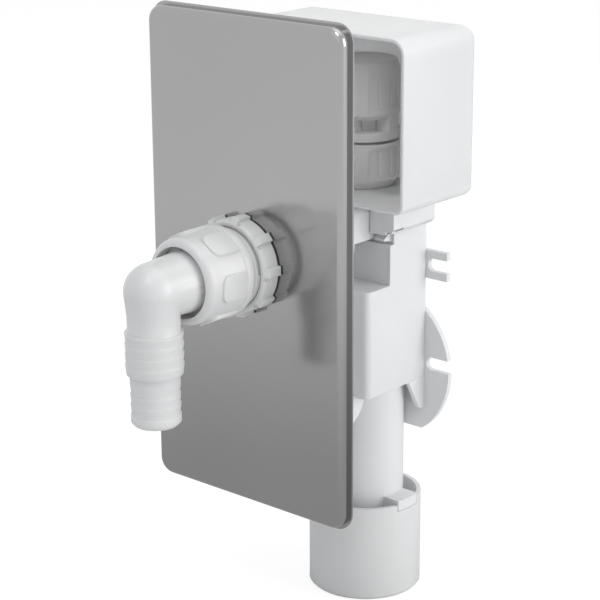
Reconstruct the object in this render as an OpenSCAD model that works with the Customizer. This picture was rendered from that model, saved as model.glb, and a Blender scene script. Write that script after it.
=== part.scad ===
// Concealed washing machine trap with a polished cover plate, a hose elbow on a union nut,
// a moulded trap body with a wall flange, a hooded air valve and a 50 mm outlet sleeve.
// The origin is the centre of the wall flange's rear face. The wall is the plane y = 0,
// the front looks along -Y and +Z is up.

/* [Cover plate] */
// Width of the cover plate over its lip
plate_w = 105.2; // [90:0.1:130]
// Height of the cover plate over its lip
plate_h = 204.6; // [180:0.1:240]
// Depth from the front face to the back of the lip
plate_depth = 5.5; // [4.5:0.1:8]
// Thickness of the pressed sheet
plate_sheet = 0.8; // [0.5:0.1:1.2]
// Outer radius of the pressed edge
plate_edge_r = 2.4; // [1.6:0.1:3]
// Width of the turned lip
plate_lip = 1.4; // [0.8:0.1:2.5]
// Corner radius over the lip
plate_corner_r = 8; // [6:0.5:15]
// Height of the plate's middle above the origin
plate_mid_z = 63.2; // [50:0.1:75]
// Distance from the wall flange's rear face to the plate's front face
plate_offset = 95.5; // [90:0.5:120]

/* [Inlet] */
// Height of the inlet axis above the origin
inlet_z = 65.2; // [60:0.1:70]
// Outer radius of the threaded nose
nose_r = 16.6; // [15:0.1:18]
// Length of the threaded nose in front of the plate
nose_len = 25; // [22:0.5:30]
// Bore radius of the inlet
inlet_bore_r = 12.2; // [10:0.1:13]
// Radius of the plain spigot behind the plate
spigot_r = 14.4; // [13.6:0.1:14.8]
// Length of the plain spigot behind its flange
spigot_len = 30; // [26:0.5:32]
// Radius of the spigot's flange behind the plate
spigot_flange_r = 20; // [18:0.5:24]
// Thickness of the spigot's flange
spigot_flange_t = 3; // [2:0.5:5]
// Thickness of the flat washer in front of the plate
washer_t = 0.6; // [0.4:0.1:2]
// Radial clearance of the parts on the thread
thread_gap = 0.08; // [0.05:0.01:0.1]

/* [Lock ring] */
// Radius of the ring's band
ring_r = 19.3; // [18.5:0.1:21]
// Length of the lock ring
ring_len = 8; // [6:0.1:8]
// Number of lugs
ring_lugs = 9; // [6:1:12]
// Height of a lug above the band
lug_rise = 1.5; // [0.5:0.1:2]
// Width of a lug
lug_w = 3.8; // [2:0.1:5]
// Length of the notch beside a lug's front end
lug_notch = 1.4; // [0.8:0.1:2]
// Angle of the first lug
lug_turn = 2; // [0:1:40]

/* [Union nut] */
// Distance of the nut's rear face from the plate's front face
nut_start = 14.4; // [13:0.1:15]
// Length of the nut
nut_len = 22.6; // [21:0.1:25]
// Radius of the nut's rear rim
nut_rim_r = 18.9; // [18.5:0.1:21]
// Radius of the nut's body at the back
nut_body_r = 18.1; // [17.8:0.1:20]
// Radius of the nut's body at the front
nut_front_r = 17.5; // [17:0.1:19]
// Radius of the nut's front opening
nut_hole_r = 14.3; // [13.8:0.1:14.8]
// Thickness of the nut's front lip
nut_lip_t = 5; // [3:0.1:6]
// Number of grip pads
pad_count = 6; // [4:1:6]
// Angle of the first grip pad
pad_turn = 26; // [0:1:60]
// Width of a grip pad
pad_w = 11; // [8:0.5:12]
// Length of a grip pad
pad_len = 12.8; // [10:0.1:13]
// Height of the pads' flats above the nut's body
pad_rise = 0.35; // [0.2:0.05:0.8]

/* [Hose elbow] */
// Distance of the tail's axis from the plate's front face
elbow_reach = 51; // [50:0.5:60]
// Radius of the elbow's bend
bend_r = 11.3; // [10.9:0.1:12]
// Radius of the elbow's neck in the nut
neck_r = 12.4; // [12:0.1:13]
// Radius of the upright leg
leg_r = 10.35; // [10:0.05:10.8]
// Drop from the inlet axis to the upper hose section
leg_drop = 16; // [14:0.5:24]
// Outer radius of the upper hose section
tail_r1 = 11.5; // [11:0.1:12]
// Outer radius of the lower hose section
tail_r2 = 9.9; // [9.6:0.1:10.5]
// Number of barbs on each section
barbs = 4; // [2:1:5]
// Spacing of the barbs
barb_pitch = 4.2; // [3.5:0.1:5]
// Depth of a barb
barb_depth = 0.45; // [0.2:0.05:0.6]
// Length of the plain end below the lower barbs
tail_end = 4.5; // [3:0.5:8]
// Bore radius of the elbow
elbow_bore_r = 7.6; // [6:0.1:8]
// Thickness of the elbow's collar
collar_t = 4; // [3:0.1:5]
// Thickness of the flat seal behind the collar
elbow_seal_t = 2.5; // [2:0.1:3]

/* [Trap body] */
// Width of the body
body_w = 42.4; // [40:0.2:50]
// Wall thickness of the body
wall = 1.8; // [1.4:0.1:2.4]
// Distance from the wall flange's rear face to the body's rear wall
flange_t = 2.5; // [2:0.1:4]
// Depth of the lower chamber in front of the body's rear face
chamber_d = 40.4; // [38:0.2:44]
// Height of the body's underside
body_base_z = -3.5; // [-8:0.5:0]
// Height of the lower chamber's top
chamber_top_z = 43.8; // [40:0.2:46]
// Depth of the upper chamber in front of the body's rear face
recess_d = 24.8; // [22:0.2:26]
// Height of the shelf under the cap
shelf_z = 61.4; // [60:0.2:63]
// Step back of the body above the shelf
shelf_step = 2.5; // [1.5:0.1:3]
// Radius of the lower chamber's front corners
chamber_corner_r = 4; // [2:0.5:6]
// Height of the overflow edge inside the body
weir_z = 58; // [54:0.5:60]
// Height of the opening between inlet pipe and chamber
throat_h = 11; // [8:0.5:14]
// Outer radius of the inlet socket
socket_r = 17; // [16.6:0.1:18]
// Radial clearance of the spigot in the socket
socket_gap = 0.2; // [0.1:0.05:0.3]
// Distance of the down pipe's axis from the wall
down_pipe_y = -54.5; // [-56:0.5:-54]
// Distance of the inlet socket's closed end from the wall
socket_end_y = -46; // [-47:0.5:-40]
// Distance of the inlet socket's mouth from the wall
socket_front_y = -75.5; // [-80:0.5:-72]
// Outer radius of the down pipe
down_pipe_r = 13; // [11:0.5:13]
// Width of the hollow stiffener behind the socket
vent_box_w = 25; // [20:0.5:34]
// Height of the stiffener's top
vent_box_top_z = 78; // [72:0.2:78.4]
// Height of the stiffener's lower edge
vent_box_base_z = 63.4; // [62:0.2:66]
// Half width of the bend under the inlet pipe
bend_half_w = 13; // [10:0.5:14]
// Radius of the bend's round underside
bend_under_r = 14; // [11:0.5:14]
// Distance of the bend's middle from the wall
bend_under_y = -48; // [-50:0.5:-46]

/* [Wall flange] */
// Radius of the flange disc
disc_r = 34.3; // [30:0.1:40]
// Drop of the disc's cut-off edge below its centre
disc_cut = 27.8; // [20:0.1:29]
// Width of the screw slots
slot_w = 5.8; // [4.5:0.1:6.5]
// Distance of the slots' round ends from the middle
slot_end_x = 22.3; // [22:0.1:24]
// Height of the lower slots
slot_low_z = 3.2; // [1:0.1:6]
// Height of the upper slots
slot_high_z = 48.2; // [44:0.1:52]
// Height of an upper ear
ear_h = 12.6; // [11:0.1:16]
// Distance of the ears' tips from the middle
ear_tip_x = 32.4; // [30:0.1:36]

/* [Outlet] */
// Outer radius of the outlet pipe
pipe_r = 17; // [16:0.1:18]
// Wall thickness of the outlet pipe
pipe_wall = 1.8; // [1.4:0.1:2.4]
// Height of the outlet pipe's end
pipe_end_z = -80; // [-90:1:-76]
// Outer radius of the sleeve
sleeve_r = 25; // [23.5:0.1:27]
// Wall thickness of the sleeve
sleeve_wall = 2; // [1.6:0.1:3]
// Height of the sleeve's upper rim
sleeve_top_z = -57.2; // [-60:0.2:-50]
// Height of the sleeve's lower end
sleeve_end_z = -100.6; // [-110:0.2:-95]
// Depth of the sleeve's web below its rim
web_drop = 9; // [7:0.5:12]
// Thickness of the sleeve's web
web_t = 2; // [1.6:0.1:3]
// Radial clearance between outlet pipe and sleeve hub
hub_gap = 0.3; // [0.2:0.05:0.5]
// Length of the hub that holds the sleeve's seal
hub_len = 9; // [7:0.5:12]
// Width of the two locking lugs on the pipe
lock_w = 13; // [8:0.5:16]
// Height of the locking lugs above the sleeve's rim
lock_rise = 2.1; // [1:0.1:3]
// Thickness of the locking lugs
lock_t = 4.6; // [3:0.1:6]

/* [Cap] */
// Width of the cap's skirt
cap_w = 51; // [48:0.2:56]
// Depth of the cap in front of the body's rear face
cap_d = 28.3; // [27.5:0.1:32]
// Height of the cap's top face
cap_top_z = 82.2; // [81:0.1:84]
// Length of the cap's skirt
skirt_len = 15.7; // [14:0.1:16.5]
// Thickness of the cap's walls
cap_wall = 1.6; // [1.2:0.1:2]
// Thickness of the cap's side skirts
skirt_wall = 1.9; // [1.6:0.1:2.4]
// Thickness of the gasket under the cap
gasket_t = 1.2; // [0.8:0.1:2]
// Width of a snap wedge under the cap's front skirt
snap_w = 6.4; // [4:0.2:8]
// Distance of the snap wedges from the middle
snap_x = 17.7; // [12:0.1:18]

/* [Air valve] */
// Distance of the valve's axis from the wall
valve_y = -19.5; // [-21:0.1:-18]
// Outer radius of the valve
valve_r = 15.4; // [15:0.1:17]
// Outer radius of the cap's threaded neck
valve_neck_r = 12.9; // [12:0.1:13]
// Height of the shoulder that carries the hood's floor
shoulder_h = 0.6; // [0.4:0.1:2]
// Height of the threaded neck above the cap
valve_neck_h = 16.3; // [15:0.1:17]
// Length of the valve's union nut
valve_nut_len = 18.1; // [17:0.1:20]
// Gap between the nut and the valve's flange
flange_gap = 1.3; // [0.5:0.1:2]
// Thickness of the valve's flange
valve_flange_t = 3.7; // [3:0.1:5]
// Height of the air intake
intake_h = 6.9; // [5:0.1:9]
// Number of intake ribs
intake_ribs = 4; // [3:1:6]
// Width of an intake rib
intake_rib_w = 8; // [4:0.5:9]
// Angle of the first intake rib
intake_rib_turn = 9; // [0:1:45]
// Number of grip recesses round the valve's nut and cap
grip_count = 4; // [2:1:5]
// Angle that a grip recess spans
grip_span = 62; // [40:1:66]
// Angle of the first grip recess's middle
grip_turn = -12.5; // [-45:0.5:45]
// Depth of a grip recess
grip_depth = 0.5; // [0.3:0.1:0.7]
// Height of the valve's cap
vcap_h = 22.7; // [20:0.1:26]
// Height of the valve cap's tapered top
vcap_taper_h = 4.2; // [3:0.1:6]
// Wall thickness of the valve cap
vcap_wall = 1.4; // [1.2:0.1:2]
// Bore radius of the valve's tube
vent_bore_r = 7.6; // [6:0.1:8]
// Lift of the membrane
membrane_lift = 3; // [2:0.1:4]
// Thickness of the membrane
membrane_t = 1.2; // [0.8:0.1:1.6]

/* [Hood] */
// Width of the hood
hood_w = 91.6; // [80:0.2:100]
// Depth of the hood
hood_d = 51; // [46:0.2:56]
// Radius of the hood's rounded lower edges
hood_low_r = 4; // [2:0.5:6]
// Height of the hood's top face
hood_top_z = 153.8; // [148:0.2:160]
// Wall thickness of the hood
hood_wall = 1.6; // [1.4:0.1:2.5]
// Radius of the hood's rounded edges
hood_r = 6.8; // [4:0.2:10]

/* [Hidden] */
$fn = 96;
// Overlap that joins solids of one piece
eps = 0.01;
// Play between a moving piece and the face it seats on
face_gap = 0.1;

// Cover plate: the flat field and the pressed rim round it
rim_w = plate_edge_r + plate_lip;
flat_w = plate_w - 2 * rim_w;
flat_h = plate_h - 2 * rim_w;
flat_r = plate_corner_r - rim_w;

// Inlet: distances in front of the plate's front face
ring_start = washer_t;
seal_start = nose_len;
collar_start = seal_start + elbow_seal_t + face_gap;
collar_end = collar_start + collar_t;
nut_end = nut_start + nut_len;
lip_start = nut_end - nut_lip_t;
collar_r = nose_r - 0.5;
tail1_len = barbs * barb_pitch;
tail2_len = (barbs + 0.2) * barb_pitch;

// Trap body: planes seen from the front
half_w = body_w / 2;
rear_y = -flange_t;
front_y = rear_y - chamber_d;
recess_y = rear_y - recess_d;
upper_y = recess_y + shelf_step;
rim_z = cap_top_z - cap_wall - gasket_t;
socket_bore_r = spigot_r + socket_gap;
spigot_stop_y = -plate_offset + plate_sheet + spigot_flange_t + spigot_len + 0.6;
weir_y = rear_y - recess_d * 0.75;
pipe_y = -(pipe_r + 0.2);
throat_w = 18;
bridge_half_w = throat_w / 2 + wall;
split_x = half_w - wall;
seat_half_w = cap_w / 2 - skirt_wall - 0.2;
seal_groove_w = 3;
seal_t = 1.6;

// Cap and valve: heights of the stacked pieces
skirt_z = cap_top_z - skirt_len;
hood_base_z = cap_top_z + shoulder_h;
hood_floor_top_z = hood_base_z + hood_wall;
vnut_z = hood_floor_top_z + 1;
vnut_collar_z = hood_floor_top_z + 0.1;
vnut_top_z = vnut_z + valve_nut_len;
vneck_top_z = cap_top_z + valve_neck_h;
vseal_t = 1.4;
vbase_z = vneck_top_z + vseal_t;
vflange_z = vnut_top_z + flange_gap;
intake_z = vflange_z + valve_flange_t;
vcap_z = intake_z + intake_h;
vcap_top_z = vcap_z + vcap_h;
seat_z = vcap_z + 1.6;
tube_r = vent_bore_r + 1.4;
seat_in_r = valve_r - vcap_wall - 1.7;
seat_out_r = valve_r - vcap_wall - 0.05;
membrane_gap = 0.35;

// A ring about Z from one height to another
module ring(outer, inner, from, to) {
    difference() {
        translate([0, 0, from]) cylinder(r = outer, h = to - from);
        translate([0, 0, from - 1]) cylinder(r = inner, h = to - from + 2);
    }
}

// A block given by its lower and upper corners
module block(low, high) {
    translate(low) cube(high - low);
}

// Places a child on the inlet axis: Z points away from the wall, 0 is the plate's front face
module on_inlet() {
    translate([0, -plate_offset, inlet_z]) rotate([90, 0, 0]) children();
}

// Places a child on the valve's upright axis
module on_valve() {
    translate([0, valve_y, 0]) children();
}

// Section of the plate's rim, from the flat field outwards
module rim_section() {
    intersection() {
        difference() {
            translate([0, plate_edge_r]) circle(r = plate_edge_r);
            translate([0, plate_edge_r]) circle(r = plate_edge_r - plate_sheet);
        }
        square([plate_edge_r, plate_edge_r]);
    }
    translate([plate_edge_r - plate_sheet, plate_edge_r - eps])
        square([plate_sheet, plate_depth - plate_edge_r + eps]);
    translate([plate_edge_r - eps, plate_depth - plate_sheet])
        square([plate_lip + eps, plate_sheet]);
}

// A straight stretch of the rim along Y, centred
module rim_side(len) {
    translate([0, len / 2, 0]) rotate([90, 0, 0]) linear_extrude(len) rim_section();
}

module plate_field() {
    w = flat_w / 2 - flat_r;
    h = flat_h / 2 - flat_r;
    square([flat_w, 2 * h], center = true);
    square([2 * w, flat_h], center = true);
    for (x = [-w, w], y = [-h, h]) translate([x, y]) circle(r = flat_r);
}

module cover_plate() {
    straight_w = flat_w - 2 * flat_r;
    straight_h = flat_h - 2 * flat_r;
    hole_z = inlet_z - plate_mid_z;
    color([0.66, 0.66, 0.65])
    translate([0, -plate_offset, plate_mid_z]) rotate([-90, 0, 0]) {
        difference() {
            linear_extrude(plate_sheet) plate_field();
            translate([0, -hole_z, -1]) cylinder(r = nose_r + 0.4, h = plate_sheet + 2);
        }
        for (side = [0, 180]) {
            rotate([0, 0, side]) translate([flat_w / 2, 0, 0]) rim_side(straight_h);
            rotate([0, 0, side + 90]) translate([flat_h / 2, 0, 0]) rim_side(straight_w);
        }
        for (sx = [0, 1], sy = [0, 1]) mirror([sx, 0, 0]) mirror([0, sy, 0])
            translate([straight_w / 2, straight_h / 2, 0])
            rotate_extrude(angle = 90) translate([flat_r, 0]) rim_section();
    }
}

module plate_washer() {
    color([0.35, 0.35, 0.36])
    on_inlet() ring(ring_r - 1.2, nose_r + 0.3, 0, washer_t);
}

module lock_ring() {
    ring_end = ring_start + ring_len;
    color([0.95, 0.95, 0.95])
    on_inlet() difference() {
        union() {
            translate([0, 0, ring_start]) cylinder(r = ring_r, h = ring_len - 1.2);
            translate([0, 0, ring_end - 1.2 - eps])
                cylinder(r1 = ring_r, r2 = ring_r - 0.8, h = 1.2 + eps);
            for (i = [0 : ring_lugs - 1]) rotate([0, 0, lug_turn + i * 360 / ring_lugs])
                rotate([90, 0, 0]) translate([0, 0, -lug_w / 2]) linear_extrude(lug_w)
                polygon([[ring_r - 2, ring_start], [ring_r + lug_rise, ring_start],
                    [ring_r + lug_rise, ring_end - 1.8], [ring_r, ring_end - 0.2], [ring_r - 2, ring_end - 0.2]]);
        }
        translate([0, 0, -1]) cylinder(r = nose_r + thread_gap, h = ring_end + 2);
        for (i = [0 : ring_lugs - 1]) rotate([0, 0, lug_turn + i * 360 / ring_lugs])
            block([ring_r - 1.1, -lug_w / 2 - lug_notch, ring_end - lug_notch],
                [ring_r + 1, -lug_w / 2 + 0.2, ring_end + 1]);
    }
}

module inlet_spigot() {
    flange_back = -plate_sheet - spigot_flange_t;
    color([0.94, 0.94, 0.94])
    on_inlet() difference() {
        union() {
            translate([0, 0, -plate_sheet - eps]) cylinder(r = nose_r, h = nose_len + plate_sheet + eps);
            translate([0, 0, flange_back]) cylinder(r = spigot_flange_r, h = spigot_flange_t);
            translate([0, 0, flange_back - spigot_len]) cylinder(r = spigot_r, h = spigot_len + eps);
        }
        translate([0, 0, flange_back - spigot_len - 1])
            cylinder(r = inlet_bore_r, h = nose_len + spigot_len + 10);
    }
}

module spigot_seal() {
    back = -(plate_offset + socket_front_y);
    color([0.15, 0.15, 0.15])
    on_inlet() ring(socket_bore_r + seal_t - 0.1, spigot_r + 0.05, back - 2 - seal_groove_w, back - 2);
}

// Section of the union nut, radius to the right and distance from the plate upwards
module nut_section() {
    front = nut_end;
    r = 3.2;
    difference() {
        union() {
            polygon([[nose_r - 4, nut_start], [nut_rim_r, nut_start], [nut_rim_r, nut_start + 2.6],
                [nut_body_r + 0.1, nut_start + 3.2], [nut_front_r, front - r], [nose_r - 4, front - r]]);
            translate([0, front - r - eps]) square([nut_front_r - r, r + eps]);
            intersection() {
                translate([nut_front_r - r, front - r]) circle(r = r);
                translate([0, front - r]) square([nut_front_r, r]);
            }
        }
        translate([0, nut_start - 1]) square([nose_r + thread_gap, lip_start - nut_start + 1]);
        translate([0, nut_start - 1]) square([nut_hole_r, nut_len + 2]);
    }
}

// Outline of a grip pad with a round front end, X across and Y along the nut
module pad_outline() {
    r = pad_w / 3;
    translate([-pad_w / 2, 0]) square([pad_w, pad_len - r]);
    for (x = [-1, 1]) translate([x * (pad_w / 2 - r), pad_len - r]) circle(r = r);
    translate([-pad_w / 2 + r, pad_len - r - eps]) square([pad_w - 2 * r, r + eps]);
}

module union_nut() {
    pad_start = nut_start + 3.4;
    color([0.95, 0.95, 0.95])
    on_inlet() {
        rotate_extrude() nut_section();
        for (i = [0 : pad_count - 1]) rotate([0, 0, i * 360 / pad_count + pad_turn])
            intersection() {
                translate([0, nut_body_r - 0.6, pad_start]) rotate([-90, 0, 0])
                    mirror([0, 1, 0]) linear_extrude(0.6 + pad_rise) pad_outline();
                ring(nut_body_r + 1, nut_body_r - 1, pad_start - 1, pad_start + pad_len + 1);
            }
    }
}

module elbow_seal() {
    color([0.18, 0.18, 0.18])
    on_inlet() ring(collar_r - 0.3, inlet_bore_r, seal_start, seal_start + elbow_seal_t);
}

// One section of the hose tail: barbs that narrow towards its end, then a plain stretch
module hose_section(r, plain_top, count, end_len) {
    polygon(concat([[0, 0], [r, 0]],
        plain_top > 0 ? [[r, -plain_top]] : [],
        [for (i = [0 : count - 1], s = [0, 1])
            s == 0 ? [r, -plain_top - i * barb_pitch]
                : [r - barb_depth, -plain_top - (i + 1) * barb_pitch]],
        end_len > 0 ? [[r, -plain_top - count * barb_pitch],
            [r, -plain_top - count * barb_pitch - end_len + 1.4],
            [r - 1.2, -plain_top - count * barb_pitch - end_len]] : [],
        [[0, -plain_top - count * barb_pitch - end_len]]));
}

module hose_elbow() {
    tail2_plain = 3.8;
    tail_drop = leg_drop + tail1_len;
    tail_total = tail_drop + tail2_plain + (barbs - 1) * barb_pitch + tail_end;
    color([0.96, 0.96, 0.96])
    on_inlet() difference() {
        union() {
            translate([0, 0, collar_start]) cylinder(r = collar_r, h = collar_t);
            translate([0, 0, collar_end - eps])
                cylinder(r1 = neck_r, r2 = bend_r, h = elbow_reach - collar_end + eps);
            translate([0, 0, elbow_reach]) sphere(r = bend_r);
            translate([0, 0, elbow_reach]) rotate([90, 0, 0]) {
                cylinder(r1 = bend_r, r2 = leg_r, h = leg_drop * 0.6);
                cylinder(r = leg_r, h = leg_drop + eps);
            }
            translate([0, -leg_drop, elbow_reach]) rotate([-90, 0, 0])
                rotate_extrude() hose_section(tail_r1, 0, barbs, 0);
            translate([0, -tail_drop + eps, elbow_reach]) rotate([-90, 0, 0])
                rotate_extrude() hose_section(tail_r2, tail2_plain, barbs - 1, tail_end);
        }
        translate([0, 0, collar_start - 1]) cylinder(r = elbow_bore_r + 1.4, h = elbow_reach - collar_start + 1);
        translate([0, 0, elbow_reach]) sphere(r = elbow_bore_r + 1.4);
        translate([0, 0, elbow_reach]) rotate([90, 0, 0]) cylinder(r = elbow_bore_r, h = tail_total + 1);
    }
}

// Plan of the lower chamber with round front corners, grown by a negative or positive step
module chamber_plan(inset) {
    r = chamber_corner_r - inset;
    w = half_w - inset;
    y0 = front_y + inset;
    translate([-w, y0 + r]) square([2 * w, rear_y - inset - y0 - r]);
    translate([-w + r, y0]) square([2 * (w - r), r + eps]);
    for (x = [-1, 1]) translate([x * (w - r), y0 + r]) circle(r = r);
}

// Outside of the moulded box: lower chamber, upper chamber and the part under the cap
module box_outside() {
    translate([0, 0, body_base_z]) linear_extrude(chamber_top_z - body_base_z) chamber_plan(0);
    block([-half_w, recess_y, chamber_top_z - wall], [half_w, rear_y, shelf_z]);
    block([-half_w, upper_y, shelf_z - eps], [half_w, rear_y, rim_z]);
}

module box_inside() {
    translate([0, 0, body_base_z + wall]) linear_extrude(chamber_top_z - body_base_z - 2 * wall)
        chamber_plan(wall);
    block([-half_w + wall, recess_y + wall, chamber_top_z - 2 * wall],
        [half_w - wall, rear_y - wall, shelf_z - wall]);
    block([-half_w + wall, upper_y + wall, shelf_z - wall - eps],
        [half_w - wall, rear_y - wall, rim_z + 1]);
}

// Side outline of the weir, Y across and Z up
module weir_outline() {
    step_y = upper_y + 0.45 * (rear_y - upper_y);
    polygon([[weir_y, body_base_z + wall - eps], [weir_y + wall, body_base_z + wall - eps],
        [weir_y + wall, chamber_top_z - 8], [step_y + wall, chamber_top_z + 3],
        [step_y + wall, weir_z], [step_y, weir_z], [step_y, chamber_top_z + 3.6],
        [weir_y, chamber_top_z - 7.4]]);
}

module weir() {
    translate([-half_w + wall - eps, 0, 0]) rotate([90, 0, 90])
        linear_extrude(body_w - 2 * wall + eps) weir_outline();
}

// Side half of a fork slot, from its round end outwards along X
module fork_slot(z, reach) {
    for (side = [-1, 1]) {
        translate([side * (slot_end_x + slot_w / 2), 1, z]) rotate([90, 0, 0])
            cylinder(d = slot_w, h = flange_t + 2);
        translate([side * (slot_end_x + slot_w / 2 + reach / 2), -flange_t / 2, z])
            cube([reach, flange_t + 2, slot_w], center = true);
    }
}

module wall_flange() {
    difference() {
        union() {
            intersection() {
                rotate([90, 0, 0]) cylinder(r = disc_r, h = flange_t);
                block([-disc_r, -flange_t - 1, -disc_cut], [disc_r, 1, disc_r + 1]);
            }
            block([-split_x, rear_y - eps, 0], [split_x, 0, shelf_z]);
            block([-ear_tip_x, rear_y, slot_high_z - ear_h / 2], [ear_tip_x, 0, slot_high_z + ear_h / 2]);
        }
        fork_slot(slot_low_z, disc_r);
        fork_slot(slot_high_z, disc_r);
    }
}

// Tapered legs that brace the body's underside against the flange disc
module brace_legs() {
    leg_t = 2;
    leg_drop_h = 15;
    leg_root_y = rear_y - 11;
    leg_tip_y = rear_y - 3.5;
    for (side = [-1, 1]) translate([side * (half_w - leg_t / 2) - leg_t / 2, 0, 0])
        rotate([90, 0, 90]) linear_extrude(leg_t)
        polygon([[leg_root_y, body_base_z + eps], [rear_y + eps, body_base_z + eps],
            [rear_y + eps, body_base_z - leg_drop_h], [leg_tip_y, body_base_z - leg_drop_h + 1.5]]);
}

// Inlet pipe: socket on the inlet axis, down pipe and the throat into the chamber
module inlet_outside() {
    translate([0, socket_front_y, inlet_z]) rotate([-90, 0, 0])
        cylinder(r = socket_r, h = socket_end_y - socket_front_y);
    translate([0, socket_front_y, inlet_z]) rotate([-90, 0, 0])
        cylinder(r = socket_r + 1.5, h = seal_groove_w + 5);
    translate([0, down_pipe_y, body_base_z]) cylinder(r = down_pipe_r, h = inlet_z - body_base_z);
    translate([0, down_pipe_y, inlet_z]) sphere(r = down_pipe_r);
    block([-bridge_half_w, down_pipe_y, body_base_z],
        [bridge_half_w, front_y + wall, body_base_z + throat_h + 2 * wall]);
    bend_drum(0);
    vent_box();
}

// Round underside of the bend: a half drum that hangs under the body's base
module bend_drum(inset) {
    top_z = body_base_z - inset;
    intersection() {
        translate([-bend_half_w + inset, bend_under_y, body_base_z]) rotate([0, 90, 0])
            cylinder(r = bend_under_r - inset, h = 2 * (bend_half_w - inset));
        block([-bend_half_w, bend_under_y - bend_under_r, body_base_z - bend_under_r - 1],
            [bend_half_w, bend_under_y + bend_under_r, top_z + eps]);
    }
}

// Hollow stiffener between the socket and the upper body, open below
module vent_box() {
    r = 4;
    w = vent_box_w / 2;
    y0 = socket_end_y - eps;
    difference() {
        translate([0, upper_y + eps, 0]) rotate([90, 0, 0]) linear_extrude(upper_y + eps - y0) {
            translate([-w, vent_box_base_z]) square([2 * w, vent_box_top_z - r - vent_box_base_z]);
            translate([-w + r, vent_box_base_z]) square([2 * (w - r), vent_box_top_z - vent_box_base_z]);
            for (x = [-1, 1]) translate([x * (w - r), vent_box_top_z - r]) circle(r = r);
        }
        block([-w + wall, y0 + wall, vent_box_base_z - 1], [w - wall, upper_y - 0.5, vent_box_top_z - wall - 2]);
    }
}

module inlet_inside() {
    translate([0, socket_front_y - 1, inlet_z]) rotate([-90, 0, 0])
        cylinder(r = socket_bore_r, h = spigot_stop_y - socket_front_y + 1);
    translate([0, socket_front_y + 2, inlet_z]) rotate([-90, 0, 0])
        cylinder(r = socket_bore_r + seal_t, h = seal_groove_w);
    translate([0, spigot_stop_y - 1, inlet_z]) rotate([-90, 0, 0])
        cylinder(r = inlet_bore_r, h = socket_end_y - wall - spigot_stop_y + 1);
    translate([0, down_pipe_y, body_base_z + wall])
        cylinder(r = down_pipe_r - wall, h = inlet_z - body_base_z - wall);
    translate([0, down_pipe_y, inlet_z]) sphere(r = down_pipe_r - wall);
    block([-throat_w / 2, down_pipe_y, body_base_z + wall],
        [throat_w / 2, front_y + wall + 1, body_base_z + wall + throat_h]);
    bend_drum(wall);
    block([-throat_w / 2, bend_under_y - bend_under_r + 2 * wall, body_base_z - wall - eps],
        [throat_w / 2, bend_under_y + bend_under_r - 2 * wall, body_base_z + wall + eps]);
}

module outlet_pipe_outside() {
    translate([0, pipe_y, pipe_end_z]) cylinder(r = pipe_r, h = body_base_z - pipe_end_z + eps);
    translate([0, pipe_y, sleeve_top_z + lock_rise - lock_t]) intersection() {
        ring(sleeve_r, pipe_r - pipe_wall / 2, 0, lock_t);
        translate([-sleeve_r, -lock_w / 2, 0]) cube([2 * sleeve_r, lock_w, lock_t]);
    }
}

module outlet_pipe_inside() {
    bore_r = pipe_r - pipe_wall;
    translate([0, pipe_y, pipe_end_z - 1]) cylinder(r = bore_r, h = body_base_z - pipe_end_z + 1);
    intersection() {
        translate([0, pipe_y, body_base_z - 1]) cylinder(r = bore_r, h = wall + 2);
        block([-split_x, weir_y + wall, body_base_z - 2], [split_x, rear_y - wall, body_base_z + wall + 2]);
    }
}

// Outward seat at the body's top that carries the gasket
module top_seat() {
    difference() {
        block([-seat_half_w, upper_y - 1.6, rim_z - 3], [seat_half_w, rear_y, rim_z]);
        block([-half_w + wall, upper_y + wall, rim_z - 4], [half_w - wall, rear_y - wall, rim_z + 1]);
    }
}

// Wedges on the upper body that the cap's front skirt snaps over
module snap_wedges() {
    top = skirt_z - 0.3;
    low = shelf_z + 1.4;
    reach = recess_d - shelf_step + 2.2 - rear_y;
    for (side = [-1, 1]) translate([side * snap_x - snap_w / 2, 0, 0]) rotate([90, 0, 90])
        linear_extrude(snap_w) polygon([[upper_y + eps, low], [-reach - 2.4, low + 0.6],
            [-reach - 2.4, low + 1.4], [-reach + 0.6, top], [upper_y + eps, top]]);
}

module body_shell() {
    difference() {
        union() {
            box_outside();
            inlet_outside();
            outlet_pipe_outside();
            top_seat();
            wall_flange();
            brace_legs();
            snap_wedges();
        }
        box_inside();
        inlet_inside();
        outlet_pipe_inside();
    }
}

// The side wall that is welded on, as the space it takes up
module side_space() {
    block([split_x, front_y - 1, body_base_z], [half_w + 1, rear_y, rim_z - 3]);
}

module trap_body() {
    color([0.92, 0.93, 0.93]) {
        difference() {
            body_shell();
            side_space();
        }
        weir();
    }
}

module side_cover() {
    color([0.93, 0.94, 0.94])
    intersection() {
        box_outside();
        side_space();
    }
}

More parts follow.
